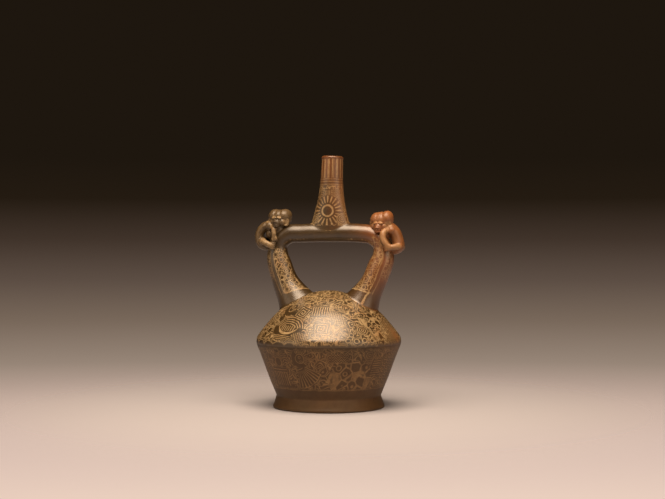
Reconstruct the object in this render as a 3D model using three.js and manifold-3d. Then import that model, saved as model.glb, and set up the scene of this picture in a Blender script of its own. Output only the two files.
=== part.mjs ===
// Stirrup spout bottle of fired clay: a carinated body on a ring foot, a hollow stirrup handle that
// rises from its dome and carries the spout, and a crouching monkey on each elbow of the stirrup.
// It was luted together wet and fired as one, so it is one hollow solid, open at the spout's mouth.
// Millimetres, +Z up, the ground at z = 0 under the centre of the foot. The stirrup lies in the XZ
// plane and the monkeys look out over the front, which faces -Y.
import * as THREE from 'three';
import { mergeVertices } from 'three/addons/utils/BufferGeometryUtils.js';
import Module from 'manifold-3d';

// Driving dimensions
const HEIGHT = 245; // ground to rim
const DOME_TOP = 113.5; // top of the body between the arms of the stirrup
const BODY_RADIUS = 70.6; // at the shoulder
const SHOULDER_HEIGHT = 66;
const FOOT_RADIUS = 54.6;
const FOOT_HEIGHT = 12; // ground to the crease above the foot
const FOOT_WIDTH = 8; // of the ring on the ground
const FOOT_RECESS = 6; // height of the hollow inside the ring foot
const BODY_WALL = 4.6;
const TUBE_WALL = 3.6; // of the stirrup and the spout

const STIRRUP_SHIFT = 2; // the stirrup was set on a little to the right
const BRIDGE_HEIGHT = 169.7; // centreline of the bridge
const ARM_SPREAD = 53.5; // half the distance between the arms, below the elbows
const SPOUT_LEAN = 1.7; // how far the mouth leans to the right

const wasm = await Module();
wasm.setup();

// ---- making and joining solids ----

// The closed solid that a three.js geometry bounds.
function solid(geometry) {
  const bare = geometry.index ? geometry.toNonIndexed() : geometry;
  bare.deleteAttribute('normal');
  bare.deleteAttribute('uv');
  const merged = mergeVertices(bare, 1e-3);
  return new wasm.Manifold(new wasm.Mesh({
    numProp: 3,
    vertProperties: merged.attributes.position.array,
    triVerts: new Uint32Array(merged.index.array),
  }));
}

function join(solids) {
  return solids.reduce((whole, next) => whole.add(next));
}

// A turned form about the Z axis from a profile of (radius, height) points, listed upwards.
function turned(profile, sides) {
  const geometry = new THREE.LatheGeometry(profile, sides);
  return geometry.rotateX(Math.PI / 2);
}

// An ellipsoid.
function ball(centre, radii, sides = 12) {
  const geometry = new THREE.SphereGeometry(1, sides, Math.round(sides * 0.7));
  return solid(geometry.scale(...radii).translate(...centre));
}

// A rod bent along a curve. The half width lies across both the curve and `side`, the half depth
// lies along `side`, and both are functions of t, which runs from 0 to 1 along the curve.
function bentRod(curve, halfWidth, halfDepth, sides, steps, side = new THREE.Vector3(0, 1, 0)) {
  const geometry = new THREE.CylinderGeometry(1, 1, 1, sides, steps);
  const position = geometry.attributes.position;
  for (let i = 0; i < position.count; i++) {
    const t = THREE.MathUtils.clamp(position.getY(i) + 0.5, 0, 1);
    const along = curve.getTangentAt(t);
    const across = new THREE.Vector3().crossVectors(along, side).normalize();
    const depth = new THREE.Vector3().crossVectors(across, along);
    const point = curve.getPointAt(t)
      .addScaledVector(across, position.getX(i) * halfWidth(t))
      .addScaledVector(depth, position.getZ(i) * halfDepth(t));
    position.setXYZ(i, point.x, point.y, point.z);
  }
  return solid(geometry);
}

// A smooth curve through points, moved with the stirrup.
function curveThrough(points) {
  return new THREE.CatmullRomCurve3(
    points.map(([x, y, z]) => new THREE.Vector3(x + STIRRUP_SHIFT, y, z)), false, 'centripetal');
}

// 1 along a limb and falling to `end` at both of its rounded ends.
function limbTaper(radius, end = 0.45) {
  return (t) => radius * (1 - (1 - end) * Math.abs(2 * t - 1) ** 4);
}

// ---- body ----

// The outside from the crease above the foot, over the shoulder, to the top of the dome.
function bodyOutline(inset, samples) {
  const outline = new THREE.SplineCurve([
    [FOOT_RADIUS - 3.6, FOOT_HEIGHT],
    [57.6, 28],
    [BODY_RADIUS - 8.2, 41],
    [BODY_RADIUS - 3.4, 54],
    [BODY_RADIUS - 0.4, SHOULDER_HEIGHT - 4.5],
    [BODY_RADIUS, SHOULDER_HEIGHT],
    [BODY_RADIUS - 1.6, SHOULDER_HEIGHT + 4.5],
    [60.4, 81.6],
    [48.5, 94],
    [30, 106.3],
    [11, DOME_TOP - 0.7],
    [0, DOME_TOP],
  ].map(([r, z]) => new THREE.Vector2(r, z)));
  return Array.from({ length: samples + 1 }, (_, i) => {
    const u = i / samples;
    const tangent = outline.getTangentAt(u);
    const point = outline.getPointAt(u);
    // The inside of the wall lies to the left of the outline, which runs upwards.
    return new THREE.Vector2(
      Math.max(0, point.x - tangent.y * inset), point.y + tangent.x * inset);
  });
}

function bodyOutside() {
  const inner = FOOT_RADIUS - FOOT_WIDTH;
  const foot = [
    [0, FOOT_RECESS],
    [inner - 3, FOOT_RECESS],
    [inner, 0],
    [FOOT_RADIUS - 0.8, 0],
    [FOOT_RADIUS, 1],
    [FOOT_RADIUS - 0.9, 3.6],
    [FOOT_RADIUS - 2.3, 8.2],
  ].map(([r, z]) => new THREE.Vector2(r, z));
  const outline = bodyOutline(0, 20);
  outline[outline.length - 1].x = 0;
  return turned([...foot, ...outline], 44);
}

function bodyInside() {
  const outline = bodyOutline(BODY_WALL, 12).filter((p) => p.y > FOOT_HEIGHT + 3);
  outline[outline.length - 1].x = 0;
  const floor = FOOT_HEIGHT;
  const floorCorner = [new THREE.Vector2(0, floor), new THREE.Vector2(outline[0].x - 5, floor)];
  return turned([...floorCorner, ...outline], 28);
}

// ---- stirrup ----

// The centreline: up the left arm, over the bridge and down the right arm.
const stirrupLine = curveThrough([
  [-27, 0, 89.5],
  [-36.8, 0, 106.4],
  [-45.1, 0, 121],
  [-50.3, 0, 135],
  [-ARM_SPREAD, 0, 149],
  [-51.5, 0, 161.5],
  [-42, 0, 168.8],
  [-28, 0, BRIDGE_HEIGHT],
  [0, 0, BRIDGE_HEIGHT + 0.6],
  [28, 0, BRIDGE_HEIGHT],
  [40.5, 0, 167.8],
  [50, 0, 160],
  [ARM_SPREAD - 1.5, 0, 147],
  [47.5, 0, 134],
  [42, 0, 121],
  [34, 0, 107],
  [24.5, 0, 90],
]);

// Thick arms that open like a trumpet where they meet the dome, and a slimmer bridge.
const BRIDGE_RADIUS = 9.1;
const ARM_RADIUS = 12;
const LEFT_ARM_SWELL = 1.3; // the left arm is a little thicker above its root

function fromNearestEnd(t) {
  return Math.min(t, 1 - t) * stirrupLine.getLength();
}

function stirrupRadius(t) {
  const distance = fromNearestEnd(t);
  const arm = 1 - THREE.MathUtils.smoothstep(distance, 52, 76);
  const flare = THREE.MathUtils.clamp(1 - distance / 42, 0, 1) ** 2;
  const swell = t < 0.5 ? 1 - THREE.MathUtils.smoothstep(distance, 28, 54) : 0;
  return BRIDGE_RADIUS + (ARM_RADIUS - BRIDGE_RADIUS) * arm + 13 * flare + LEFT_ARM_SWELL * swell;
}

function stirrupBoreRadius(t) {
  const mouth = ARM_RADIUS + 0.05 * Math.max(0, 30 - fromNearestEnd(t));
  return Math.min(stirrupRadius(t), mouth) - TUBE_WALL;
}

// ---- spout ----

// Half the spout's width along the stirrup at a height above the bridge's centreline.
const SPOUT_LENGTH = HEIGHT - BRIDGE_HEIGHT;
const SPOUT_RADIUS = 10.35; // at the mouth

function spoutHalfWidth(t) {
  return SPOUT_RADIUS + 12.2 * (1 - t) ** 2.6;
}

// Across the stirrup it flares less, because it ends in the side of the bridge.
function spoutHalfDepth(t) {
  return SPOUT_RADIUS - 1.6 * (1 - t) ** 2;
}

const spoutLine = new THREE.LineCurve3(
  new THREE.Vector3(STIRRUP_SHIFT - 0.6, 0, BRIDGE_HEIGHT + 1),
  new THREE.Vector3(STIRRUP_SHIFT + SPOUT_LEAN, 0, HEIGHT + 0.5));

function spoutOutside() {
  return bentRod(spoutLine, spoutHalfWidth, spoutHalfDepth, 22, 9);
}

function spoutBore() {
  const boreLine = new THREE.LineCurve3(
    spoutLine.v1.clone(), spoutLine.getPoint(1 + 4 / SPOUT_LENGTH));
  const boreRadius = (t) => 5.7 + (SPOUT_RADIUS - 3.2 - 5.7) * Math.min(1, 1.6 * t);
  return bentRod(boreLine, boreRadius, boreRadius, 12, 4);
}

// The rim is cut level, and its front left part has lost a thin flake.
function rimCut() {
  const level = new THREE.BoxGeometry(60, 60, 10).translate(0, 0, HEIGHT + 5);
  const flake = new THREE.BoxGeometry(16, 12, 2).rotateX(0.06).rotateY(0.04);
  flake.translate(-4.6, -9.2, HEIGHT + 0.15);
  return join([solid(level), solid(flake)]);
}

// ---- monkeys ----

// Each monkey hugs an elbow of the stirrup, its back outwards and its bowed head on the bridge.
// They were shaped by hand and differ. x is the distance from the middle of the stirrup outwards.
const MONKEYS = {
  left: {
    side: -1,
    skull: { at: [50.6, -0.5, 184], radii: [12, 9.4, 8.8] },
    crown: [ // the two halves of the parted hair, the one towards the spout first
      { at: [45, -0.6, 186.8], radii: [6.6, 8.4, 7] },
      { at: [56.2, -0.6, 186.8], radii: [6.6, 8.4, 7] },
    ],
    cheeks: { x: [41.9, 59.3], z: 182, radii: [3.4, 6, 5.4] },
    muzzle: { at: [52.2, -8.8, 180.8], radii: [4.4, 4.8, 4.4] },
    back: [[57, 178.5], [62.5, 177.7], [66.4, 176], [69.6, 172.8], [71.5, 168.8], [71.5, 163],
      [69.8, 158.8], [65.9, 157.2], [59, 157.4]],
    backWidth: [5, 4.2], // half its width at the shoulders and at the loins
    arm: [[57.4, -4.6, 177.4], [55, -9.6, 174.6], [54.4, -11, 170], [54, -11, 165.4]],
    leg: [[69, -4, 161.6], [65.6, -8.2, 161.2], [61.6, -10.2, 159.2], [57, -11, 157.6]],
  },
  right: {
    side: 1,
    skull: { at: [51.2, -0.5, 182], radii: [11.4, 9.2, 8.6] },
    crown: [
      { at: [46.8, -0.6, 182.6], radii: [7.4, 8.2, 7.1] },
      { at: [56.4, -0.6, 184.2], radii: [6.2, 8, 7.1] },
    ],
    cheeks: { x: [43, 59.2], z: 179.6, radii: [3.4, 6, 5] },
    muzzle: { at: [48.8, -9, 176.6], radii: [4.6, 4.6, 5.2] },
    back: [[55, 177.4], [60, 173.6], [63.4, 169.8], [65.4, 165.2], [66.8, 160.2], [66.9, 156.6],
      [64, 154.6], [59, 154]],
    backWidth: [5.8, 5.8],
    arm: [[56, -5, 173], [52.6, -9.4, 170], [52.6, -11, 164.6], [57.6, -11.4, 157.4]],
    leg: [[69.4, -3.6, 156.6], [66.4, -8, 156.2], [62, -10.4, 155.4], [58, -11, 155.6]],
  },
};

function monkey({ side, skull, crown, cheeks, muzzle, back, backWidth, arm, leg }) {
  const lump = ({ at: [x, y, z], radii }, sides) =>
    ball([side * x + STIRRUP_SHIFT, y, z], radii, sides);
  const through = (points) => curveThrough(points.map(([x, y, z]) => [side * x, y, z]));
  const pair = (make) => [1, -1].flatMap(make);
  const limb = (points, half, radius) => {
    const line = points.map(([x, y, z]) => [x, half * y, z]);
    const [x, y, z] = line[3];
    return [
      bentRod(through(line), limbTaper(radius, 0.75), limbTaper(radius, 0.75), 6, 4),
      lump({ at: [x, y, z], radii: [radius * 1.15, radius * 0.8, radius * 0.9] }, 6), // hand or foot
    ];
  };
  const [shoulders, loins] = backWidth;
  const torsoWidth = (t) => (shoulders + (loins - shoulders) * t) * limbTaper(1, 0.85)(t);
  return join([
    lump(skull, 12),
    lump(muzzle, 8),
    ...crown.map((half) => lump(half, 10)),
    ...cheeks.x.map((x) => lump({ at: [x, -0.8, cheeks.z], radii: cheeks.radii }, 6)),
    lump({ at: [53.5, 0, 173.6], radii: [8.6, 8.4, 7.4] }, 8), // chest, on the bend of the elbow
    bentRod(through(back.map(([x, z]) => [x, 0, z])), torsoWidth, limbTaper(7.8, 0.8), 10, 9),
    ...pair((half) => [...limb(arm, half, 3), ...limb(leg, half, 3.2)]),
  ]);
}

// ---- the vessel ----

function vessel() {
  const outside = join([
    solid(bodyOutside()),
    bentRod(stirrupLine, stirrupRadius, stirrupRadius, 20, 36),
    spoutOutside(),
    monkey(MONKEYS.left),
    monkey(MONKEYS.right),
  ]);
  const inside = join([
    solid(bodyInside()),
    bentRod(stirrupLine, stirrupBoreRadius, stirrupBoreRadius, 10, 26),
    spoutBore(),
  ]);
  return outside.subtract(inside).subtract(rimCut());
}

// A named mesh from a joined solid.
function meshOf(name, whole, material) {
  const { numProp, vertProperties, triVerts } = whole.getMesh();
  const position = new Float32Array((vertProperties.length / numProp) * 3);
  for (let i = 0; i < position.length / 3; i++) {
    position.set(vertProperties.subarray(i * numProp, i * numProp + 3), i * 3);
  }
  const geometry = new THREE.BufferGeometry();
  geometry.setAttribute('position', new THREE.BufferAttribute(position, 3));
  geometry.setIndex(new THREE.BufferAttribute(triVerts, 1));
  geometry.computeVertexNormals();
  const mesh = new THREE.Mesh(geometry, material);
  mesh.name = name;
  return mesh;
}

const burnishedClay = new THREE.MeshStandardMaterial({
  color: 0x5a4028,
  roughness: 0.35,
  metalness: 0,
});

const bottle = new THREE.Group();
bottle.add(meshOf('vessel', vessel(), burnishedClay));
export default bottle;
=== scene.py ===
# Stirrup spout bottle of fired clay. The body on its ring foot, the stirrup and the spout are one
# hollow mesh with a painted, burnished skin, and a monkey holds on to each bend of the stirrup.
import math

import bmesh
import bpy
import numpy as np
from mathutils import Matrix, Vector, kdtree, noise


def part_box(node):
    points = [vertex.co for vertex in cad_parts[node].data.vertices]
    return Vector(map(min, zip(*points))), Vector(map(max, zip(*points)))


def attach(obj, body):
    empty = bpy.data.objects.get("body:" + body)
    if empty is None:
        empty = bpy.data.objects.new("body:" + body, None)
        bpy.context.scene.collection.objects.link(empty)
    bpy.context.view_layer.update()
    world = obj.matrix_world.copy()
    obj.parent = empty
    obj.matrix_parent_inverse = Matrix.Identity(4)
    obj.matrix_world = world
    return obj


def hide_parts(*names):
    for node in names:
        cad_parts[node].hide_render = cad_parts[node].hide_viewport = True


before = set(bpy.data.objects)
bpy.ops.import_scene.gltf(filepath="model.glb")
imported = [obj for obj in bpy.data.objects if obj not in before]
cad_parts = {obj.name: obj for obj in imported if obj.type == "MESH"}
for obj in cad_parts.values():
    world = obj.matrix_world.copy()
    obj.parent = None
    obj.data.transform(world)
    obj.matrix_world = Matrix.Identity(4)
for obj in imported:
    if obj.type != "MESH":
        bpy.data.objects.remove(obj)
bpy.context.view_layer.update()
low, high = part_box("vessel")
mm = 0.001  # everything is shaped in millimetres, and a finished piece is shrunk to metres
height = high.z / mm
bodyRadius = (high.y - low.y) / 2 / mm + 0.1


# ---- curves, rods and turned forms ----

def smoothPath(points, count, power=0.5, before=None, after=None):
    # Catmull-Rom through the points, cut into equal steps; power 0.5 keeps tight bends round
    points = [np.array(p, float) for p in points]
    first = 2 * points[0] - points[1] if before is None else np.array(before, float)
    last = 2 * points[-1] - points[-2] if after is None else np.array(after, float)
    points = [first, *points, last]
    fine = []
    for a, b, c, d in zip(points, points[1:], points[2:], points[3:]):
        knots = np.cumsum([0] + [np.linalg.norm(q - p) ** power for p, q in ((a, b), (b, c), (c, d))])
        t = np.linspace(knots[1], knots[2], 24, endpoint=False)[:, None]
        ab = a + (b - a) * (t - knots[0]) / (knots[1] - knots[0])
        bc = b + (c - b) * (t - knots[1]) / (knots[2] - knots[1])
        cd = c + (d - c) * (t - knots[2]) / (knots[3] - knots[2])
        abc = ab + (bc - ab) * (t - knots[0]) / (knots[2] - knots[0])
        bcd = bc + (cd - bc) * (t - knots[1]) / (knots[3] - knots[1])
        fine.append(abc + (bcd - abc) * (t - knots[1]) / (knots[2] - knots[1]))
    fine = np.vstack([*fine, points[-2]])
    run = np.concatenate([[0], np.cumsum(np.linalg.norm(np.diff(fine, axis=0), axis=1))])
    return np.array([[np.interp(s, run, fine[:, k]) for k in range(fine.shape[1])]
                     for s in np.linspace(0, run[-1], count)])


def pathLength(path):
    return float(np.linalg.norm(np.diff(path, axis=0), axis=1).sum())


def step(value, start, end):
    t = min(max((value - start) / (end - start), 0), 1)
    return t * t * (3 - 2 * t)


def rod(bm, path, halfWidth, halfDepth, sides, side=(0, 1, 0), start=0.0):
    # A ring is carried along the path by extruding it. halfWidth and halfDepth take the distance
    # from 0 to 1; "around" keeps where a point lies round the rod, and how far along it.
    around = bm.verts.layers.float_vector.get("around")
    length = pathLength(path)
    side = Vector(side)
    ring = bmesh.ops.create_circle(bm, cap_ends=False, segments=sides, radius=1)["verts"]
    for v in ring:
        v[around] = v.co
    made = list(ring)
    edges = list({e for v in ring for e in v.link_edges})
    firstEdges = edges
    placed = Matrix.Identity(4)
    for i in range(len(path)):
        t = i / (len(path) - 1)
        along = Vector(path[min(i + 1, len(path) - 1)] - path[max(i - 1, 0)]).normalized()
        across = along.cross(side).normalized()
        depth = across.cross(along)
        station = Matrix((across * halfWidth(t), depth * halfDepth(t), along)).transposed().to_4x4()
        station.translation = Vector(path[i])
        if i:
            grown = bmesh.ops.extrude_edge_only(bm, edges=edges)["geom"]
            ring = [g for g in grown if isinstance(g, bmesh.types.BMVert)]
            edges = [g for g in grown if isinstance(g, bmesh.types.BMEdge)]
            made += ring
        bmesh.ops.transform(bm, matrix=station @ placed.inverted(), verts=ring)
        for v in ring:
            v[around].z = start + t * length
        placed = station
    bmesh.ops.contextual_create(bm, geom=firstEdges)
    bmesh.ops.contextual_create(bm, geom=edges)
    return made


def turned(bm, profile, steps):
    # profile is a list of (radius, height) from the axis to the axis
    verts = [bm.verts.new((r, 0, z)) for r, z in profile]
    edges = [bm.edges.new(pair) for pair in zip(verts, verts[1:])]
    bmesh.ops.spin(bm, geom=verts + edges, axis=(0, 0, 1), cent=(0, 0, 0), steps=steps,
                   angle=2 * math.pi, use_merge=True)
    bmesh.ops.remove_doubles(bm, verts=bm.verts, dist=1e-4)


def newMesh():
    bm = bmesh.new()
    bm.verts.layers.float_vector.new("around")
    return bm


def faceOut(bm):
    bmesh.ops.recalc_face_normals(bm, faces=bm.faces)
    if bm.calc_volume(signed=True) < 0:
        bmesh.ops.reverse_faces(bm, faces=bm.faces)


def asObject(name, bm, materials=(), slotIndex=None):
    faceOut(bm)
    for face in bm.faces:
        face.smooth = True
        if slotIndex is not None:
            face.material_index = slotIndex
    mesh = bpy.data.meshes.new(name)
    bm.to_mesh(mesh)
    bm.free()
    for material in materials:
        mesh.materials.append(material)
    thing = bpy.data.objects.new(name, mesh)
    bpy.context.collection.objects.link(thing)
    return thing


def applyModifiers(thing):
    graph = bpy.context.evaluated_depsgraph_get()
    mesh = bpy.data.meshes.new_from_object(thing.evaluated_get(graph), depsgraph=graph)
    old = thing.data
    thing.modifiers.clear()
    thing.data = mesh
    bpy.data.meshes.remove(old)


def combine(thing, others, operation):
    for other in others:
        cut = thing.modifiers.new("join", "BOOLEAN")
        cut.operation, cut.object, cut.solver = operation, other, "MANIFOLD"
        applyModifiers(thing)
        bpy.data.objects.remove(other)


# ---- the vessel ----

vesselSizes = {
    "shoulderHeight": 66,
    "domeTop": 113.5,
    "footRadius": 54.6,
    "footHeight": 12,  # ground to the crease above the foot
    "footWidth": 8,
    "footRecess": 6,
    "bodyWall": 4.6,
    "tubeWall": 3.6,
    "stirrupShift": 2,  # the stirrup was set on a little to the right
    "bridgeHeight": 169.7,
    "bridgeRadius": 9.1,
    "armSpread": 53.5,
    "armRadius": 12,
    "leftArmSwell": 1.3,
    "spoutRadius": 10.35,
    "spoutLean": 1.7,
    "handmade": 0.22,  # how far the hand-smoothed wall strays
}


def bodyOutline(count):
    radius, shoulder, top = bodyRadius, vesselSizes["shoulderHeight"], vesselSizes["domeTop"]
    return smoothPath([
        (vesselSizes["footRadius"] - 3.6, vesselSizes["footHeight"]), (57.6, 28), (radius - 8.2, 41),
        (radius - 3.4, 54), (radius - 0.4, shoulder - 4.5), (radius, shoulder),
        (radius - 1.6, shoulder + 4.5), (60.4, 81.6), (48.5, 94), (30, 106.3), (11, top - 0.7),
        (0, top),
    ], count, power=0, after=(-11, top - 0.7))


def bodyOutside(count):
    foot, recess = vesselSizes["footRadius"], vesselSizes["footRecess"]
    inner = foot - vesselSizes["footWidth"]
    underside = [(0, recess)] + [(r, recess) for r in np.linspace(6, inner - 4.4, 8)]
    ring = smoothPath([(inner - 3.6, recess - 0.4), (inner - 1.8, recess - 2.6), (inner - 0.5, 0.9),
                       (inner + 0.8, 0), (foot - 1.4, 0), (foot - 0.3, 0.7), (foot - 0.1, 1.8),
                       (foot - 1.0, 3.8), (foot - 2.4, 8.2), (foot - 3.4, 11.4)], 26)
    return [*underside, *[(r, max(z, 0)) for r, z in ring], *bodyOutline(count)]


def bodyInside(count):
    outline = bodyOutline(count)
    tangent = np.gradient(outline, axis=0)
    tangent /= np.linalg.norm(tangent, axis=1)[:, None]
    wall = outline + np.stack([-tangent[:, 1], tangent[:, 0]], axis=1) * vesselSizes["bodyWall"]
    wall = [(max(r, 0), z) for r, z in wall if z > vesselSizes["footHeight"] + 3]
    wall[-1] = (0, wall[-1][1])
    floor = vesselSizes["footHeight"]
    return [(0, floor), (20, floor), (38, floor), (wall[0][0] - 4, floor + 0.2), *wall]


def stirrupPath(count):
    spread, bridge, shift = vesselSizes["armSpread"], vesselSizes["bridgeHeight"], vesselSizes["stirrupShift"]
    points = [(-27, 89.5), (-36.8, 106.4), (-45.1, 121), (-50.3, 135), (-spread, 149), (-51.5, 161.5),
              (-42, 168.8), (-28, bridge), (0, bridge + 0.6), (28, bridge), (40.5, 167.8),
              (50, 160), (spread - 1.5, 147), (47.5, 134), (42, 121), (34, 107), (24.5, 90)]
    return smoothPath([(x + shift, 0, z) for x, z in points], count)


stirrupLength = pathLength(stirrupPath(200))


def stirrupRadius(t):
    distance = min(t, 1 - t) * stirrupLength
    arm = 1 - step(distance, 52, 76)
    flare = max(1 - distance / 42, 0) ** 2
    swell = 1 - step(distance, 28, 54) if t < 0.5 else 0
    bridge = vesselSizes["bridgeRadius"]
    return (bridge + (vesselSizes["armRadius"] - bridge) * arm + 13 * flare
            + vesselSizes["leftArmSwell"] * swell)


def boreRadius(t):
    distance = min(t, 1 - t) * stirrupLength
    mouth = vesselSizes["armRadius"] + 0.05 * max(0, 30 - distance)
    return min(stirrupRadius(t), mouth) - vesselSizes["tubeWall"]


spoutFoot = (vesselSizes["stirrupShift"] - 0.6, 0, vesselSizes["bridgeHeight"] + 1)
spoutTip = (vesselSizes["stirrupShift"] + vesselSizes["spoutLean"], 0, height)
spoutLength = height - vesselSizes["bridgeHeight"] - 1


def spoutHalf(t, spreadOut):
    below = (1 - t) * spoutLength
    lip = 0.5 * (1 - step(below, 0.6, 4)) - 1.4 * max(0, 1.2 - below) ** 2  # the rim is rounded over
    return vesselSizes["spoutRadius"] + spreadOut(1 - t) + lip


def spoutOutside(bm, count):
    path = np.linspace(spoutFoot, spoutTip, count)
    return rod(bm, path, lambda t: spoutHalf(t, lambda u: 12.2 * u ** 2.6),
               lambda t: spoutHalf(t, lambda u: -1.6 * u ** 2), 80)


def spoutBore(bm):
    tip = Vector(spoutTip) + (Vector(spoutTip) - Vector(spoutFoot)).normalized() * 3
    path = np.linspace(spoutFoot, tip, 60)

    def radius(t):
        flare = 1.1 * max(0, t * (spoutLength + 3) - spoutLength + 1.4) ** 2
        return 5.7 + (vesselSizes["spoutRadius"] - 3.2 - 5.7) * min(1, 1.6 * t) + min(flare, 2.2)

    return rod(bm, path, radius, radius, 48)


def handmade(point, strength):
    # long shallow waves of a wall raised and smoothed by hand, and finer ones from the polishing
    wave = noise.noise(point * 0.03 + Vector((3.1, 7.7, 1.9)))
    stroke = noise.noise(Vector((point.x * 0.06, point.y * 0.06, point.z * 0.16)) + Vector((9, 2, 5)))
    return strength * (wave + 0.3 * stroke)


def softenJoints(thing, reach=3.0, rounds=10):
    # clay was smeared over each joint, so the crease between two forms is rounded
    bm = bmesh.new()
    bm.from_mesh(thing.data)
    bmesh.ops.remove_doubles(bm, verts=bm.verts, dist=0.12)
    seam = {v for e in bm.edges if len({f.material_index for f in e.link_faces}) > 1
            and 3 not in {f.material_index for f in e.link_faces} for v in e.verts}
    tree = kdtree.KDTree(len(seam))
    for i, vert in enumerate(seam):
        tree.insert(vert.co, i)
    tree.balance()
    near = [(vert, tree.find(vert.co)[2]) for vert in bm.verts]
    for i in range(rounds):
        limit = reach * (1 - i / rounds)
        bmesh.ops.smooth_vert(bm, verts=[vert for vert, far in near if far < limit], factor=0.5,
                              use_axis_x=True, use_axis_y=True, use_axis_z=True)
    bm.to_mesh(thing.data)
    bm.free()
    for polygon in thing.data.polygons:
        polygon.use_smooth = True


def makeVessel(materials):
    bodySkin, stirrupSkin, spoutSkin, insideSkin, wallSkin = range(5)
    bm = newMesh()
    turned(bm, bodyOutside(96), 264)
    body = asObject("vessel_clay", bm, materials, bodySkin)
    bm = newMesh()
    rod(bm, stirrupPath(220), stirrupRadius, stirrupRadius, 72)
    stirrup = asObject("stirrup", bm, materials, stirrupSkin)
    bm = newMesh()
    spoutOutside(bm, 76)
    spout = asObject("spout", bm, materials, spoutSkin)
    combine(body, [stirrup, spout], "UNION")
    print("outer forms joined", len(body.data.polygons))

    bm = bmesh.new()
    bm.from_mesh(body.data)
    bm.normal_update()
    for vert in bm.verts:
        grip = step(vert.co.z, 1.5, 8) * (1 - step(vert.co.z, height - 6, height - 1))
        vert.co += vert.normal * handmade(vert.co, vesselSizes["handmade"]) * grip
    bm.to_mesh(body.data)
    bm.free()
    softenJoints(body)

    bm = newMesh()
    turned(bm, bodyInside(40), 96)
    hollow = asObject("hollow", bm, materials, insideSkin)
    bm = newMesh()
    rod(bm, stirrupPath(120), boreRadius, boreRadius, 32)
    bore = asObject("bore", bm, materials, insideSkin)
    bm = newMesh()
    spoutBore(bm)
    mouth = asObject("mouth", bm, materials, insideSkin)
    combine(body, [hollow, bore, mouth], "DIFFERENCE")
    for polygon in body.data.polygons:
        polygon.use_smooth = True
        if polygon.material_index == bodySkin and polygon.center.z < vesselSizes["shoulderHeight"] - 3:
            polygon.material_index = wallSkin
    print("vessel hollowed", len(body.data.polygons))
    return body


# ---- the monkeys ----

# x is the distance outwards from the middle of the stirrup, and each limb's y is for its front one
leftMonkey = {
    "side": -1,
    "head": (50.6, -0.5, 184),
    "turn": -11,  # degrees, both look a little to the left
    "nod": 6,
    "skull": (11.6, 9.4, 8.6),
    "crown": [((4.9, 0, 2.7), (7.1, 8.8, 7.0)), ((-4.9, 0, 2.7), (7.1, 8.8, 7.0)),
              ((0, -0.4, 3.2), (6.2, 8.8, 6.0))],
    "muzzle": ((0, -8.6, -3.4), (4.2, 4.8, 4.2)),
    "ears": [(-8.4, -5.2, -2.8), (8.0, -5.4, -2.8)],
    "back": [(57, 178.5), (62.5, 177.7), (66.4, 176), (69.6, 172.8), (71.5, 168.8), (71.5, 163),
             (69.8, 158.8), (65.9, 157.2), (59, 157.4)],
    "backWidth": (5, 4.2),
    "belly": ((60.5, 0, 169.5), (4.6, 7.2, 6.4)),
    "arm": [(57.4, -5, 178), (55.4, -9.6, 174.6), (54.6, -11.2, 170), (54.2, -11.3, 165.4)],
    "leg": [(69, -4, 161.8), (65.8, -8.2, 161.4), (61.8, -10.4, 159.4), (57.4, -11.6, 157.6)],
    "limbRadius": (2.3, 3.0),
    "fingers": (-1.0, -3.6),
    "toes": (-3.9, -0.6),
}
rightMonkey = {
    "side": 1,
    "head": (51.2, -0.5, 182),
    "turn": -9,
    "nod": 16,
    "skull": (11.2, 9.2, 8.4),
    "crown": [((-4.6, 0, 0.9), (7.3, 8.4, 7.0)), ((5.2, 0, 2.4), (6.1, 8.2, 7.0)),
              ((0.6, -0.3, 1.6), (5.4, 8.4, 6.1))],
    "muzzle": ((-1.6, -9.0, -5.2), (4.4, 4.6, 5.0)),
    "ears": [(-8.8, -4.4, -3.0), (7.0, -5.6, -2.6)],
    "back": [(55, 177.4), (60, 173.6), (63.4, 169.8), (65.4, 165.2), (66.8, 160.2), (66.9, 156.6),
             (64, 154.6), (59, 154)],
    "backWidth": (5.9, 5.8),
    "belly": ((54.5, 0, 168.5), (5.4, 7.8, 6.0)),
    "arm": [(58, -5, 173.4), (53.6, -9.8, 169.4), (54.0, -11.4, 163.4), (58.6, -12.2, 156.4)],
    "leg": [(69.6, -3.4, 156.8), (67, -8, 156.6), (63, -10.6, 156), (59.6, -11.8, 155.8)],
    "limbRadius": (3.1, 3.0),
    "fingers": (-3.8, -1.2),
    "toes": (-3.4, 0.4),
}
crumb = 0.36  # size of the clay crumbs that a figure is smoothed from


def lump(bm, place, radii, inFrame=Matrix.Identity(4), turns=(0, 0, 0), sides=20):
    turn = Matrix.Identity(4)
    for angle, axis in zip(turns, "XYZ"):
        turn = Matrix.Rotation(math.radians(angle), 4, axis) @ turn
    matrix = inFrame @ Matrix.Translation(place) @ turn @ Matrix.Diagonal((*radii, 1))
    bmesh.ops.create_uvsphere(bm, u_segments=sides, v_segments=sides // 2 + 2, radius=1,
                              matrix=matrix)


def roundEnds(radius, end=0.8):
    return lambda t: radius * (1 - (1 - end) * abs(2 * t - 1) ** 4)


def limb(bm, points, radius, sides=16, end=0.8):
    path = smoothPath(points, 12)
    rod(bm, path, roundEnds(radius, end), roundEnds(radius, end), sides, side=(0.1, 1, 0.1))
    for tip in (path[0], path[-1]):
        lump(bm, tip, (radius * end,) * 3, sides=sides)


def headFrame(figure):
    x, y, z = figure["head"]
    centre = (figure["side"] * x + vesselSizes["stirrupShift"], y, z)
    turn = Matrix.Rotation(math.radians(figure["turn"]), 4, "Z")
    return Matrix.Translation(centre) @ turn @ Matrix.Rotation(math.radians(figure["nod"]), 4, "X")


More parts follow.
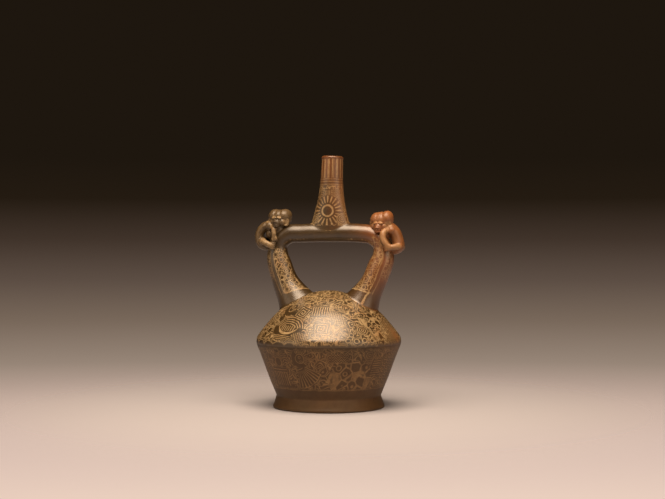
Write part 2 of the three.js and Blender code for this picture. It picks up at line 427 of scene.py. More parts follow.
def shapeEar(bm, head, place, half):
    # a flat shell with a rolled rim
    frameOf = head @ Matrix.Translation(place) @ Matrix.Rotation(math.radians(half * 34), 4, "Z")
    lump(bm, (0, 1.2, 0), (2.7, 2.4, 3.9), frameOf)
    rim = [frameOf @ Vector((half * 2.4 * math.cos(a), -0.5, 3.5 * math.sin(a)))
           for a in np.linspace(-2.2, 2.2, 9)]
    limb(bm, rim, 0.95, 10)


def shapeHead(bm, figure, head):
    lump(bm, (0, 0, 0), figure["skull"], head, sides=36)
    for place, radii in figure["crown"]:
        lump(bm, place, radii, head, sides=32)
    place, radii = figure["muzzle"]
    x, y, z = place
    lump(bm, place, radii, head, sides=28)
    lump(bm, (x, y - radii[1] + 0.9, z + 1.3), (2.0, 1.3, 1.1), head)  # nose
    for half in (-1, 1):
        lump(bm, (x + half * 0.9, y - radii[1] - 0.1, z + 1.4), (0.8, 0.7, 0.7), head)  # nostril wings
        lump(bm, (x + half * 2.5, y - 0.4, z + 5.0), (2.5, 2.0, 1.0), head, (0, half * 10, half * 16))
        lump(bm, (x + half * 2.5, y - 1.0, z + 3.5), (1.25, 1.1, 1.15), head)  # eye under its brow
        lump(bm, (x + half * 4.8, y + 2.2, z + 0.6), (3.2, 3.4, 3.6), head)  # cheek
    lips = [head @ Vector((x + 3.3 * math.sin(a), y - radii[1] * math.cos(a) + 0.2, z - 1.3))
            for a in np.linspace(-1.1, 1.1, 7)]
    limb(bm, lips, 0.6, 10)
    limb(bm, [point + Vector((0, 0.3, -1.5)) for point in lips], 0.7, 10)
    for place, half in zip(figure["ears"], (-1, 1)):
        shapeEar(bm, head, place, half)


def shapeLimbs(bm, figure, at):
    armRadius, legRadius = figure["limbRadius"]
    for half in (1, -1):
        def side(point):
            return at(point[0], point[1] * half, point[2])

        arm, leg = figure["arm"], figure["leg"]
        lump(bm, side((arm[0][0] + 3, arm[0][1], arm[0][2] - 1.4)), (4.6, 4.4, 4.6))  # shoulder
        lump(bm, side((leg[0][0] - 1.4, leg[0][1] - 1.4, leg[0][2] - 0.4)), (4.4, 4.6, 4.6))  # haunch
        limb(bm, [side(p) for p in arm], armRadius)
        limb(bm, [side(p) for p in leg], legRadius)
        for (x, y, z), (dx, dz), wide in ((arm[-1], figure["fingers"], armRadius),
                                          (leg[-1], figure["toes"], legRadius)):
            lump(bm, side((x, y, z)), (wide * 1.15, wide * 0.8, wide * 1.1))
            reach = math.hypot(dx, dz)
            for i in range(4):
                off = (i - 1.5) * wide * 0.62
                near = (x - dz / reach * off, y - 0.7, z + dx / reach * off)
                far = (near[0] + dx, y + 0.2, near[2] + dz)
                middle = [(a + b) / 2 for a, b in zip(near, far)]
                limb(bm, [side(near), side((middle[0], middle[1] - 0.5, middle[2])), side(far)],
                     wide * 0.3, 10)


def shapeMonkey(bm, figure):
    def at(x, y, z):
        return (figure["side"] * x + vesselSizes["stirrupShift"], y, z)

    shapeHead(bm, figure, headFrame(figure))
    lump(bm, at(53.5, 0, 173.6), (8.6, 8.4, 7.4), sides=28)  # chest, on the bend
    place, radii = figure["belly"]
    lump(bm, at(*place), radii, sides=28)
    shoulders, loins = figure["backWidth"]
    rod(bm, smoothPath([at(x, 0, z) for x, z in figure["back"]], 40),
        lambda t: (shoulders + (loins - shoulders) * t) * (1 - 0.12 * abs(2 * t - 1) ** 4),
        lambda t: 7.4 * (1 - 0.2 * abs(2 * t - 1) ** 4) + 0.9 * math.sin(t * math.pi * 2) ** 2, 32)
    shapeLimbs(bm, figure, at)


def meltTogether(thing, grain, rounds):
    fuse = thing.modifiers.new("fuse", "REMESH")
    fuse.mode, fuse.voxel_size, fuse.use_smooth_shade = "VOXEL", grain, True
    even = thing.modifiers.new("even", "SMOOTH")
    even.factor, even.iterations = 0.5, rounds
    applyModifiers(thing)


def paintMonkey(thing, figure):
    # "paint" holds the cream slip, the dark slip and the spotted fur of each point
    def at(x, y, z):
        return Vector((figure["side"] * x + vesselSizes["stirrupShift"], y, z))

    def nearTo(point, centre, radius, soft):
        return 1 - step((point - centre).length, radius - soft, radius + soft)

    toHead = headFrame(figure).inverted()
    muzzle = Vector(figure["muzzle"][0])
    arm, leg = [[at(*p) for p in smoothPath(figure[key], 12)] for key in ("arm", "leg")]
    back = [at(x, 0, z) for x, z in smoothPath(figure["back"], 24)]
    paint = thing.data.attributes.new("paint", "FLOAT_VECTOR", "POINT")
    values = []
    for vert in thing.data.vertices:
        point = Vector((vert.co.x, -abs(vert.co.y), vert.co.z))
        face = toHead @ vert.co
        ears = max(nearTo(face, Vector(ear), 4.2, 0.5) for ear in figure["ears"])
        dark = nearTo(face, muzzle + Vector((0, -2, -0.2)), 4.6, 0.5) * (1 - ears)
        eyes = max(nearTo(face, muzzle + Vector((half * 2.5, -1.2, 3.5)), 1.5, 0.2) for half in (-1, 1))
        brow = max(nearTo(face, muzzle + Vector((half * 2.8, -0.5, 5.4)), 2.2, 0.4) for half in (-1, 1))
        limbs = max(nearTo(point, p, 3.4, 0.4) for p in (*arm, *leg))
        spine = min((point - p).length for p in back)
        cream = max(ears, brow, limbs)
        values += [cream, max(dark, eyes), (1 - cream) * step(spine, 1, 6)]
    paint.data.foreach_set("vector", values)


def makeMonkey(name, figure, material):
    bm = newMesh()
    shapeMonkey(bm, figure)
    monkey = asObject(name, bm, [material], 0)
    meltTogether(monkey, crumb, 4)
    paintMonkey(monkey, figure)
    print(name, "shaped", len(monkey.data.polygons))
    return monkey


# ---- numbers that vary over a surface ----

class Field:
    # arithmetic with a Field adds Math nodes to the tree that its socket belongs to
    def __init__(self, socket):
        self.socket = socket

    def __add__(self, other):
        return calc("ADD", self, other)

    def __radd__(self, other):
        return calc("ADD", other, self)

    def __sub__(self, other):
        return calc("SUBTRACT", self, other)

    def __rsub__(self, other):
        return calc("SUBTRACT", other, self)

    def __mul__(self, other):
        return calc("MULTIPLY", self, other)

    def __rmul__(self, other):
        return calc("MULTIPLY", other, self)

    def __truediv__(self, other):
        return calc("DIVIDE", self, other)

    def __pow__(self, other):
        return calc("POWER", self, other)


def connect(tree, value, socket):
    if isinstance(value, Field):
        tree.links.new(value.socket, socket)
    elif isinstance(value, bpy.types.NodeSocket):
        tree.links.new(value, socket)
    else:
        socket.default_value = value


def calc(operation, *values):
    tree = next(value.socket.id_data for value in values if isinstance(value, Field))
    node = tree.nodes.new("ShaderNodeMath")
    node.operation = operation
    for socket, value in zip(node.inputs, values):
        connect(tree, value, socket)
    return Field(node.outputs[0])


def either(*values):
    result = values[0]
    for value in values[1:]:
        result = calc("MAXIMUM", result, value)
    return result


def both(*values):
    result = values[0]
    for value in values[1:]:
        result = calc("MINIMUM", result, value)
    return result


def ramp(value, start, end, low=0.0, high=1.0):
    tree = value.socket.id_data
    node = tree.nodes.new("ShaderNodeMapRange")
    for socket, number in zip(node.inputs, (value, start, end, low, high)):
        connect(tree, number, socket)
    return Field(node.outputs[0])


def blend(factor, first, second):
    return first + (second - first) * factor


def under(value, limit, soft=0.25):
    return ramp(value, limit + soft, limit - soft)


def over(value, limit, soft=0.25):
    return ramp(value, limit - soft, limit + soft)


def within(value, low, high, soft=0.25):
    return both(over(value, low, soft), under(value, high, soft))


def stripes(value, spacing, width):
    return under(calc("PINGPONG", value, spacing / 2), width / 2, 0.18)


def lineAt(value, place, width):
    return under(calc("ABSOLUTE", value - place), width / 2, 0.18)


def length(u, w):
    return calc("SQRT", u * u + w * w)


def bearing(u, w):
    return calc("ARCTAN2", u, w)


def parts(tree, vector):
    node = tree.nodes.new("ShaderNodeSeparateXYZ")
    tree.links.new(vector, node.inputs[0])
    return [Field(out) for out in node.outputs]


def packed(tree, *values):
    node = tree.nodes.new("ShaderNodeCombineXYZ")
    for socket, value in zip(node.inputs, values):
        connect(tree, value, socket)
    return node.outputs[0]


def vectorMath(tree, operation, first, second, third=None):
    node = tree.nodes.new("ShaderNodeVectorMath")
    node.operation = operation
    for socket, value in zip(node.inputs, (first, second, third)):
        if value is not None:
            connect(tree, value, socket)
    return node.outputs[0]


def noiseOf(tree, vector, size, detail=2.0, rough=0.5, stretch=(1, 1, 1), colour=False):
    # size is the width of a blotch in millimetres
    scaled = vectorMath(tree, "MULTIPLY", vector, [k / size for k in stretch])
    node = tree.nodes.new("ShaderNodeTexNoise")
    node.inputs["Scale"].default_value = 1
    node.inputs["Detail"].default_value = detail
    node.inputs["Roughness"].default_value = rough
    tree.links.new(scaled, node.inputs["Vector"])
    return node.outputs["Color"] if colour else Field(node.outputs["Fac"])


def cellsOf(tree, vector, size, feature="F1", uneven=1.0):
    node = tree.nodes.new("ShaderNodeTexVoronoi")
    node.feature = feature
    node.inputs["Scale"].default_value = 1
    node.inputs["Randomness"].default_value = uneven
    tree.links.new(vectorMath(tree, "SCALE", vector, (0, 0, 0)), node.inputs["Vector"])
    node.inputs["Vector"].links[0].from_node.inputs["Scale"].default_value = 1 / size
    return node


def mixColour(tree, factor, first, second):
    node = tree.nodes.new("ShaderNodeMix")
    node.data_type = "RGBA"
    connect(tree, factor, node.inputs[0])
    for socket, colour in zip((node.inputs[6], node.inputs[7]), (first, second)):
        connect(tree, colour if hasattr(colour, "is_linked") else (*colour, 1), socket)
    return node.outputs[2]


def shaderGroup(name, inputs, outputs, build):
    tree = bpy.data.node_groups.new(name, "ShaderNodeTree")
    kinds = {"value": "NodeSocketFloat", "vector": "NodeSocketVector", "colour": "NodeSocketColor"}
    for label, kind in inputs.items():
        tree.interface.new_socket(label, in_out="INPUT", socket_type=kinds[kind])
    for label, kind in outputs.items():
        tree.interface.new_socket(label, in_out="OUTPUT", socket_type=kinds[kind])
    start, end = tree.nodes.new("NodeGroupInput"), tree.nodes.new("NodeGroupOutput")
    given = [Field(start.outputs[label]) if kind == "value" else start.outputs[label]
             for label, kind in inputs.items()]
    for label, result in zip(outputs, build(tree, *given)):
        connect(tree, result, end.inputs[label])
    return tree


def place(tree, group, *values):
    node = tree.nodes.new("ShaderNodeGroup")
    node.node_tree = group
    for socket, value in zip(node.inputs, values):
        connect(tree, value, socket)
    return [Field(out) if out.type == "VALUE" else out for out in node.outputs]


# ---- the painter's motifs ----
# Each takes a place on the wall in millimetres from its own middle, and gives the cream brush
# lines and the area that it covers.

def motif(name, draw):
    return shaderGroup(name, {"Place": "vector"}, {"Line": "value", "Area": "value"},
                       lambda tree, where: draw(tree, *parts(tree, where)[:2]))


def drawRings(tree, u, w):
    r = length(u, w)
    return stripes(r + 0.9, 2.5, 0.95), under(r, 7.6)


def drawRing(tree, u, w):
    r = length(u, w)
    return lineAt(r, 2.6, 1.1), under(r, 3.6)


def drawDisc(tree, u, w):
    r = length(u, w)
    return lineAt(r, 4.3, 0.8), under(r, 5.2)


def drawSun(tree, u, w):
    r = length(u, w)
    rays = stripes(bearing(u, w) * (30 / math.pi), 3.0, 1.15)
    return either(lineAt(r, 4.5, 1.5), both(rays, within(r, 6.8, 12.5))), under(r, 13)


def drawBoat(tree, u, w):
    # a crescent hull with a cargo of upright strokes under three nested arcs
    hull = both(under(length(u, w - 7), 13), over(length(u, w - 10.5), 13.6))
    arcs = both(stripes(length(u, w + 2) + 0.6, 2.6, 0.95), over(length(u, w + 2), 9.5), over(w, 3))
    cargo = both(stripes(u, 2.5, 0.9), within(w, -1.5, 5.2), under(calc("ABSOLUTE", u), 8.5))
    wake = both(stripes(w, 2.0, 0.75), under(w, -7.4))
    return either(hull, arcs, cargo, wake), under(length(u * 0.86, w - 1), 15.5)


def drawFan(tree, u, w):
    # long feathers spread from one point
    r = length(u, w - 13)
    spread = bearing(u, 13 - w)
    feathers = both(stripes(spread * 19, 2.9, 1.1), within(r, 7, 22))
    tips = lineAt(r, 22, 0.9)
    area = both(under(calc("ABSOLUTE", spread), 0.62, 0.02), under(r, 23))
    return both(either(feathers, tips, stripes(r, 2.4, 0.7) * under(r, 7)), area), area


def drawHoneycomb(tree, u, w):
    where = packed(tree, u, w, 0.0)
    edge = Field(cellsOf(tree, where, 7.6, "DISTANCE_TO_EDGE", 0.75).outputs["Distance"])
    heart = Field(cellsOf(tree, where, 7.6, "F1", 0.75).outputs["Distance"])
    lines = either(under(edge, 0.075, 0.03), lineAt(heart * 7.6, 2.1, 0.7))
    return lines, under(length(u * 0.75, w), 14.5)


def drawScales(tree, u, w):
    row = calc("FLOOR", w / 4.2)
    across = calc("WRAP", u + row * 3.1, -3.1, 3.1)
    down = w - row * 4.2 - 4.2
    return stripes(length(across, down) + 0.3, 1.9, 0.75), under(length(u, w * 0.8), 13)


def drawFret(tree, u, w):
    # a squared spiral
    far = either(calc("ABSOLUTE", u), calc("ABSOLUTE", w))
    turned = bearing(u, w) * (2.7 / math.tau)
    return stripes(far + turned, 2.7, 1.0), under(far, 8)


def drawLattice(tree, u, w):
    net = either(stripes(u + w, 3.3, 0.8), stripes(u - w, 3.3, 0.8))
    return net, under(length(u, w * 1.5), 11)


def drawComb(tree, u, w):
    teeth = both(stripes(u, 2.5, 0.95), within(w, -7, 4.5))
    bars = stripes(w, 2.3, 0.8) * over(w, 4.5)
    return either(teeth, bars), both(under(calc("ABSOLUTE", u), 9), under(calc("ABSOLUTE", w), 9))


def drawZigzag(tree, u, w):
    peak = calc("PINGPONG", u, 3.4)
    return stripes(w - peak * 1.2, 2.9, 1.05), both(under(calc("ABSOLUTE", u), 12),
                                                    under(calc("ABSOLUTE", w), 5.5))


def drawHead(tree, u, w):
    # a round head in profile with an eye and a crest
    r = length(u, w)
    eye = either(lineAt(length(u + 1.4, w - 1.2), 1.7, 0.7), lineAt(r, 6.4, 0.9))
    jaw = both(stripes(w, 1.9, 0.7), over(u, 0.6), under(w, -0.4), under(r, 6))
    crest = both(stripes(bearing(u, w) * (30 / math.pi), 2.5, 1.0), within(r, 7.8, 12), over(w + u * 0.4, 0))
    return either(eye, jaw, crest), under(r, 12.4)


motifs = {draw.__name__[4:].lower(): motif(draw.__name__[4:].lower(), draw) for draw in (
    drawRings, drawRing, drawDisc, drawSun, drawBoat, drawFan, drawHoneycomb, drawScales, drawFret,
    drawLattice, drawComb, drawZigzag, drawHead)}


def paintMotif(tree, painted, kind, across, up, turned=0.0, size=1.0):
    # lays a motif over what is painted already
    node = tree.nodes.new("ShaderNodeMapping")
    node.inputs["Rotation"].default_value[2] = math.radians(turned)
    node.inputs["Scale"].default_value = (1 / size, 1 / size, 1)
    tree.links.new(packed(tree, across, up, 0.0), node.inputs["Vector"])
    line, area = place(tree, motifs[kind], node.outputs[0])
    return blend(area, painted, line)


# ---- clay, slip and fire ----

def buildFill(tree, point, size):
    # crowded small shapes that fill the ground between the large ones
    wander = noiseOf(tree, point, 9, 1, colour=True)
    bent = vectorMath(tree, "MULTIPLY_ADD", wander, (9, 9, 9), point)
    cells = tree.nodes.new("ShaderNodeTexVoronoi")
    edges = tree.nodes.new("ShaderNodeTexVoronoi")
    edges.feature = "DISTANCE_TO_EDGE"
    for node in (cells, edges):
        tree.links.new(bent, node.inputs["Vector"])
        connect(tree, 1 / size if not isinstance(size, Field) else calc("DIVIDE", 1, size),
                node.inputs["Scale"])
    kind, lean, slip = parts(tree, cells.outputs["Color"])
    rim = Field(edges.outputs["Distance"]) * size
    heart = Field(cells.outputs["Distance"]) * size
    x, y, z = parts(tree, bent)
    arcs = stripes(heart + slip * 2, 2.1, 0.8)
    echoes = stripes(rim + 1.0, 2.0, 0.75)
    leaning = stripes((x + y) * (lean - 0.5) + z * (1.2 - lean), 2.3, 0.85)
    drawn = blend(over(kind, 0.34, 0.01), arcs, blend(over(kind, 0.7, 0.01), echoes, leaning))
    return [either(lineAt(rim, 0.0, 0.8), both(drawn, over(rim, 0.9)))]


fillGroup = shaderGroup("crowdedFill", {"Point": "vector", "Size": "value"}, {"Line": "value"},
                        buildFill)


def buildClay(tree, point, line, red, matt):
    # burnished smoke-brown clay, cream slip lines worn into it, and a red flush from the fire
    broad = noiseOf(tree, point, 34, 3)
    blotch = noiseOf(tree, point, 7, 3, 0.6)
    grain = noiseOf(tree, point, 0.9, 2)
    strokes = noiseOf(tree, point, 2.2, 2, 0.5, (1, 1, 0.16))
    wear = noiseOf(tree, point, 3.2, 3, 0.65)
    speck = Field(cellsOf(tree, point, 2.6).outputs["Distance"])
    ground = mixColour(tree, ramp(broad, 0.35, 0.68), (0.034, 0.0195, 0.0054), (0.066, 0.038, 0.0115))
    ground = mixColour(tree, matt * 0.6, ground, (0.072, 0.045, 0.018))
    ground = mixColour(tree, ramp(blotch, 0.35, 0.75) * 0.55, ground, (0.025, 0.0145, 0.0055))
    hot = calc("MINIMUM", red * ramp(broad + blotch * 0.4, 0.45, 0.85, 0.5, 1.15), 1)
    ground = mixColour(tree, hot, ground, (0.200, 0.062, 0.015))
    cream = mixColour(tree, ramp(wear, 0.3, 0.7), (0.27, 0.180, 0.078), (0.40, 0.290, 0.150))
    tanned = either(ramp(noiseOf(tree, point, 13, 2), 0.45, 0.7) * 0.5, matt * 0.55)
    cream = mixColour(tree, tanned, cream, (0.30, 0.145, 0.050))
    cream = mixColour(tree, hot * 0.7, cream, (0.36, 0.185, 0.068))
    cover = line * ramp(wear, 0.26, 0.48, 0.35, 0.95) * ramp(broad, 0.25, 0.5, 0.72, 1.0)
    cover = cover * (1 - matt * ramp(blotch, 0.3, 0.7, 0.35, 0.75))
    colour = mixColour(tree, cover, ground, cream)
    pit = under(speck, 0.13, 0.05) * ramp(blotch, 0.48, 0.62)
    colour = mixColour(tree, pit * 0.75, colour, (0.018, 0.010, 0.005))
    rough = 0.25 + strokes * 0.08 + wear * 0.10 + cover * 0.06 + matt * 0.22 + pit * 0.3
    relief = strokes * 0.45 + grain * 0.25 + blotch * 0.5 - pit * 0.8 - cover * 0.15
    return colour, rough, relief


clayGroup = shaderGroup(
    "burnishedClay", {"Point": "vector", "Line": "value", "Red": "value", "Matt": "value"},
    {"Colour": "colour", "Roughness": "value", "Relief": "value"}, buildClay)


def newMaterial(name):
    material = bpy.data.materials.new(name)
    material.use_nodes = True
    tree = material.node_tree
    where = tree.nodes.new("ShaderNodeTexCoord").outputs["Object"]
    point = vectorMath(tree, "SCALE", where, (0, 0, 0))
    point.node.inputs["Scale"].default_value = 1000
    wobble = noiseOf(tree, point, 6, 1, colour=True)
    drawnAt = vectorMath(tree, "MULTIPLY_ADD", wobble, (1.3, 1.3, 1.3), point)
    drawnAt = vectorMath(tree, "SUBTRACT", drawnAt, (0.65, 0.65, 0.65))
    return material, tree, point, drawnAt


def finish(tree, point, line, red, matt, polish=0.85, grain=0.06):
    colour, rough, relief = place(tree, clayGroup, point, line, red, matt)
    shader = tree.nodes["Principled BSDF"]
    tree.links.new(colour, shader.inputs["Base Color"])
    tree.links.new(rough.socket, shader.inputs["Roughness"])
    shader.inputs["Specular IOR Level"].default_value = polish
    bump = tree.nodes.new("ShaderNodeBump")
    bump.inputs["Strength"].default_value = 0.35
    bump.inputs["Distance"].default_value = grain * mm
    tree.links.new(relief.socket, bump.inputs["Height"])
    tree.links.new(bump.outputs[0], shader.inputs["Normal"])


# the painting goes round the body twice: (motif, angle from the front in degrees, height, turn, size)
domePainting = [
    ("rings", -62, 84, 0, 1.0), ("zigzag", -70, 71, 0, 0.9), ("boat", -27, 78.5, 4, 1.0),
    ("lattice", -12, 71.5, 20, 0.9), ("head", -38, 98, 0, 0.8), ("fret", -18, 94, 15, 0.9),
    ("disc", -49, 77, 0, 0.8), ("disc", -55, 71, 0, 0.5), ("comb", 2, 96, 0, 0.9),
    ("fret", 6, 80, 0, 1.0), ("lattice", 20, 90, 40, 0.9), ("honeycomb", 58, 86, 0, 0.8),
    ("ring", 27, 69, 0, 0.95), ("ring", 34, 68.6, 0, 1.0), ("ring", 41, 69, 0, 0.95),
    ("ring", 30.5, 74, 0, 0.8), ("ring", 47.5, 68.6, 0, 0.9), ("rings", 42, 78, 0, 0.8),
    ("scales", 78, 78, -20, 0.85), ("zigzag", 73, 69, 10, 0.8), ("zigzag", -24, 67.5, -14, 0.8),
]
lowerPainting = [
    ("comb", -36, 33, 0, 1.1), ("disc", -35, 48, 0, 1.0), ("scales", -62, 40, 0, 1.0),
    ("fan", -8, 35, -32, 1.05), ("head", -12, 52, 30, 0.7), ("honeycomb", 33, 33.5, 0, 1.15),
    ("zigzag", 20, 53, 0, 0.8), ("comb", 58, 42, 90, 0.9), ("fret", 47, 54, 0, 0.6),
    ("scales", 76, 42, 30, 1.1), ("fan", 95, 30, 20, 0.8), ("rings", -78, 28, 0, 0.8),
]


spoutPainting = [
    ("comb", 0.4, 207, 180, 0.6), ("fret", -8.5, 206, 0, 0.55), ("zigzag", 9, 209, 0, 0.6),
    ("scales", 12, 200, -30, 0.55), ("sun", -1.4, 191.6, 0, 1.15), ("rings", 12.5, 183.5, 0, 0.75),
    ("rings", -13.5, 184, 0, 0.6),
]


def bodyPlace(tree, drawnAt):
    # where a point is on the body, and the fire and the polish there
    x, y, z = parts(tree, drawnAt)
    r = length(x, y)
    angle = calc("WRAP", bearing(x, 0 - y), math.radians(-80), math.radians(100))
    shoulder = vesselSizes["shoulderHeight"]
    ragged = z + noiseOf(tree, drawnAt, 5, 2) * 6 - 3
    matt = under(ragged, shoulder - 3, 4)
    flush = under(length((angle - math.radians(82)) * 70, z - 71), 5, 9) * 0.8
    red = either(flush, ramp(x, 42, 78, 0.0, 0.25), under(z, 60, 8) * 0.12)
    return angle, r, z, ragged, red, matt


def makeDomeSkin():
    material, tree, point, drawnAt = newMaterial("painted_dome")
    angle, r, z, ragged, red, matt = bodyPlace(tree, drawnAt)
    shoulder = vesselSizes["shoulderHeight"]
    slope = math.hypot(bodyRadius - 30, 106.3 - shoulder) / (106.3 - shoulder)
    painted = place(tree, fillGroup, drawnAt, 7.0)[0]
    for kind, degrees, at, turned, size in domePainting:
        painted = paintMotif(tree, painted, kind, (angle - math.radians(degrees)) * r,
                             (z - at) * slope, turned, size)
    onLeft = ramp(angle, math.radians(-8), math.radians(-22))
    scallop = calc("ABSOLUTE", calc("SINE", angle * 15)) * 3.2 * onLeft
    hem = lineAt(z - scallop, shoulder - 1.2, 1.0) * 0.8 * onLeft
    painted = either(both(painted, over(ragged - scallop, shoulder - 1.5, 1.2)), hem)
    finish(tree, point, painted, red, matt)
    return material


def makeWallSkin():
    material, tree, point, drawnAt = newMaterial("painted_wall")
    angle, r, z, ragged, red, matt = bodyPlace(tree, drawnAt)
    painted = place(tree, fillGroup, drawnAt, 8.0)[0]
    for kind, degrees, at, turned, size in lowerPainting:
        painted = paintMotif(tree, painted, kind, (angle - math.radians(degrees)) * r, z - at, turned, size)
    painted = either(both(painted, within(ragged, 22, 60, 1.5)), lineAt(z, 21.5, 0.8) * 0.7)
    finish(tree, point, painted, red, matt, 0.35)
    return material


def makeStirrupSkin():
    material, tree, point, drawnAt = newMaterial("painted_stirrup")
    attribute = tree.nodes.new("ShaderNodeAttribute")
    attribute.attribute_name = "around"
    across, depth, along = parts(tree, attribute.outputs["Vector"])
    x, y, z = parts(tree, point)
    wander = noiseOf(tree, point, 8, 2) * 4 - 2
    near = calc("MINIMUM", along, stirrupLength - along) + wander
    # 0 at the front and the back, above it on the outside, and under it on the inside
    turned = bearing(across, calc("ABSOLUTE", depth)) + wander * 0.05
    heart = Field(cellsOf(tree, drawnAt, 5.2, "F1", 0.7).outputs["Distance"]) * 5.2
    edge = Field(cellsOf(tree, drawnAt, 5.2, "DISTANCE_TO_EDGE", 0.7).outputs["Distance"])
    net = either(lineAt(heart, 1.95, 0.6) * 0.8, under(edge, 0.06, 0.04))
    inner = both(over(near - turned * 4, 27, 0.6), under(near, ramp(x, -20, 20, 72, 86), 1),
                 within(turned, -1.2, 0.1, 0.04))
    outer = both(within(near, 44, 80, 2), within(turned, 0.52, 1.3, 0.06)) * 0.6
    seams = both(either(lineAt(turned * 11, 1.6, 0.9) * 0.8, lineAt(turned * 11, 5.4, 0.8) * 0.5),
                 within(near, 27, 80))
    hem = both(lineAt(near - turned * 4, 26.4, 1.1), under(turned, 0.2))
    drip = both(lineAt(turned * 12, 2.0, 1.5), under(near, 28), over(x, 10))
    dotted = under(Field(cellsOf(tree, drawnAt, 3.4, "F1", 0.3).outputs["Distance"]), 0.34, 0.08)
    dotted = both(dotted, within(turned, -1.3, -0.5, 0.08), within(near, 82, 110, 2))
    painted = either(both(net, either(inner, outer)), seams, hem, drip, dotted * ramp(x, -20, 20, 0.3, 0.85))
    red = ramp(x, 12, 56, 0.0, 0.85) * ramp(near, 22, 46, 0.3, 1.0) * ramp(near, 88, 106, 1.0, 0.5)
    finish(tree, point, painted, red, 0.0)
    return material


def makeSpoutSkin():
    material, tree, point, drawnAt = newMaterial("painted_spout")
    attribute = tree.nodes.new("ShaderNodeAttribute")
    attribute.attribute_name = "around"
    across, depth, along = parts(tree, attribute.outputs["Vector"])
    x, y, z = parts(tree, drawnAt)
    turned = bearing(0 - across, calc("ABSOLUTE", depth))  # 0 at the front and the back
    u = turned * ramp(z, 182, 222, 16.0, 11.0)
    top = both(stripes(u + 1.4, 4.4, 2.3), within(z, 223.5, 242)) * 0.75
    rings = either(lineAt(z, 222.2, 0.9), lineAt(z, 219.8, 0.9), lineAt(z, 217.2, 0.8)) * 0.7
    lower = place(tree, fillGroup, drawnAt, 6.5)[0]
    for kind, over_, at, turned_, size in spoutPainting:
        lower = paintMotif(tree, lower, kind, u - over_, z - at, turned_, size)
    crack = lineAt(u + noiseOf(tree, point, 7, 2) * 2, 4.4, 0.5) * over(z, 222)
    painted = either(top, rings, both(lower, within(z, 177, 216))) * (1 - crack)
    red = either(ramp(x, -2, 13, 0.05, 0.8), over(z, 218, 6) * 0.6)
    red = red * ramp(z, 176, 216, 0.3, 1.0)
    finish(tree, point, painted, red, crack * 0.5 + 0.15, 0.7)
    return material


def makeInsideSkin():
    material, tree, point, drawnAt = newMaterial("raw_inside")
    soot = ramp(noiseOf(tree, point, 9, 3), 0.35, 0.7)
    finish(tree, point, soot * 0.15, 0.1, 1.0, 0.2, 0.15)
    return material


def makeMonkeySkin():
    material, tree, point, drawnAt = newMaterial("painted_monkey")
    attribute = tree.nodes.new("ShaderNodeAttribute")
    attribute.attribute_name = "paint"
    cream, dark, dots = parts(tree, attribute.outputs["Vector"])
    x, y, z = parts(tree, point)
    spots = Field(cellsOf(tree, drawnAt, 2.6, "F1", 0.7).outputs["Distance"])
    spotted = under(spots, 0.32, 0.1) * dots * ramp(noiseOf(tree, point, 9, 2), 0.42, 0.6)
    slip = either(cream * 0.8, 0.62 - dots * 0.42) * (1 - either(dark * 0.85, spotted * 0.5))
    red = ramp(x, 20, 52, 0.0, 0.95)
    finish(tree, point, slip, red, 0.35, 0.6)
    return material


skins = [makeDomeSkin(), makeStirrupSkin(), makeSpoutSkin(), makeInsideSkin(), makeWallSkin()]
monkeySkin = makeMonkeySkin()
print("materials mixed")

pieces = [makeVessel(skins), makeMonkey("monkey_left", leftMonkey, monkeySkin),
          makeMonkey("monkey_right", rightMonkey, monkeySkin)]
for piece in pieces:
    piece.data.transform(Matrix.Scale(mm, 4))
    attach(piece, "root")
    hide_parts("vessel")


# ---- floor, light and camera ----

studio = {
    "floorRadius": 0.5,
    "floorSolid": 0.10,  # past this the floor fades into the backdrop
    "floorColour": (0.435, 0.435, 0.49),
    # backdrop colour against the slope of the view, from straight down to straight up
    "backdrop": [(-1.0, (0.84, 0.64, 0.53)), (-0.19, (0.83, 0.63, 0.52)), (-0.139, (0.66, 0.49, 0.42)),
                 (-0.116, (0.57, 0.42, 0.35)), (-0.085, (0.30, 0.23, 0.18)), (-0.054, (0.187, 0.137, 0.102)),
                 (-0.024, (0.108, 0.076, 0.058)), (0.007, (0.052, 0.034, 0.024)),
                 (0.038, (0.0176, 0.011, 0.006)), (0.07, (0.013, 0.0085, 0.0048)), (1.0, (0.012, 0.008, 0.005))],
    "bounce": 0.45,  # how much of the backdrop's light reaches the clay
}


def makeFloor():
    bm = bmesh.new()
    bmesh.ops.create_circle(bm, cap_ends=True, segments=96, radius=studio["floorRadius"])
    floor = asObject("floor", bm)
    material = bpy.data.materials.new("pale_floor")
    material.use_nodes = True
    tree = material.node_tree
    where = tree.nodes.new("ShaderNodeTexCoord").outputs["Object"]
    x, y, z = parts(tree, where)
    r = length(x, y)
    shader = tree.nodes["Principled BSDF"]
    shader.inputs["Base Color"].default_value = (*studio["floorColour"], 1)
    shader.inputs["Roughness"].default_value = 0.9
    shader.inputs["Specular IOR Level"].default_value = 0.1
    node = ramp(r, studio["floorSolid"], studio["floorRadius"] * 0.96, 1.0, 0.0).socket.node
    node.interpolation_type = "SMOOTHERSTEP"
    tree.links.new(node.outputs[0], shader.inputs["Alpha"])
    floor.data.materials.append(material)


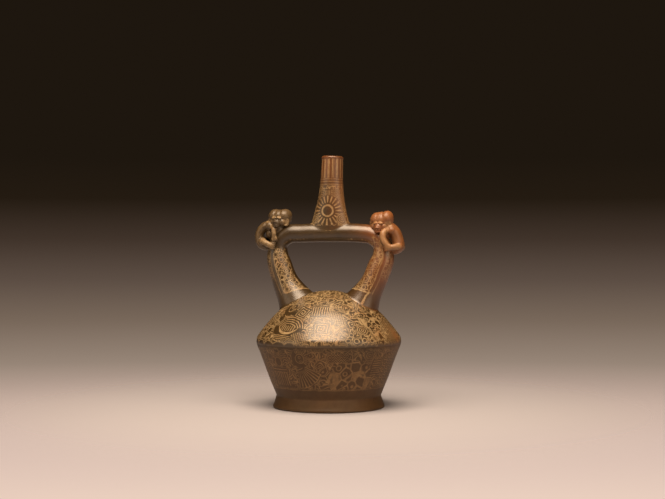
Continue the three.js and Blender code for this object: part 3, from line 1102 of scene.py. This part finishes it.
def makeBackdrop():
    world = bpy.data.worlds.new("backdrop")
    bpy.context.scene.world = world
    world.use_nodes = True
    tree = world.node_tree
    view = tree.nodes.new("ShaderNodeTexCoord").outputs["Generated"]
    slope = parts(tree, view)[2]
    node = tree.nodes.new("ShaderNodeValToRGB")
    tree.links.new((slope * 0.5 + 0.5).socket, node.inputs[0])
    stops = node.color_ramp.elements
    for i, (at, colour) in enumerate(studio["backdrop"]):
        stop = stops[i] if i < 2 else stops.new(at * 0.5 + 0.5)
        if i == 1:
            stop.position = at * 0.5 + 0.5
    for stop, (at, colour) in zip(sorted(stops, key=lambda s: s.position), studio["backdrop"]):
        stop.position = at * 0.5 + 0.5
        stop.color = (*colour, 1)
    seen = Field(tree.nodes.new("ShaderNodeLightPath").outputs["Is Camera Ray"])
    background = tree.nodes["Background"]
    tree.links.new(node.outputs[0], background.inputs["Color"])
    tree.links.new(blend(seen, studio["bounce"], 1.0).socket, background.inputs["Strength"])


def softBox(name, at, towards, width, depth, power, colour=(1, 0.76, 0.54)):
    light = bpy.data.lights.new(name, "AREA")
    light.shape, light.size, light.size_y = "RECTANGLE", width, depth
    light.energy, light.color = power, colour
    box = bpy.data.objects.new(name, light)
    box.location = at
    box.rotation_euler = (Vector(towards) - Vector(at)).to_track_quat("-Z", "Y").to_euler()
    bpy.context.collection.objects.link(box)


def makeCamera(distance, height, azimuth, aside, lens):
    turn = math.radians(azimuth)
    camera = bpy.data.objects.new("camera", bpy.data.cameras.new("camera"))
    camera.data.lens = lens
    camera.data.sensor_width = 36
    camera.location = (math.sin(turn) * distance + math.cos(turn) * aside,
                       -math.cos(turn) * distance + math.sin(turn) * aside, height)
    camera.rotation_euler = (math.pi / 2, 0, turn)
    bpy.context.collection.objects.link(camera)
    bpy.context.scene.camera = camera


makeFloor()
makeBackdrop()
softBox("overhead", (0.03, -0.34, 0.92), (0.01, -0.02, 0.1), 0.68, 0.74, 18)
softBox("left", (-1.4, -1.1, 0.6), (0, 0, 0.12), 1.2, 1.2, 6)
softBox("right", (1.4, -0.9, 0.6), (0, 0, 0.12), 1.2, 1.2, 9)
makeCamera(distance=1.26, height=0.1538, azimuth=12.0, aside=0.0036, lens=69.7)
bpy.context.scene.view_settings.view_transform = "Standard"
print("studio set")
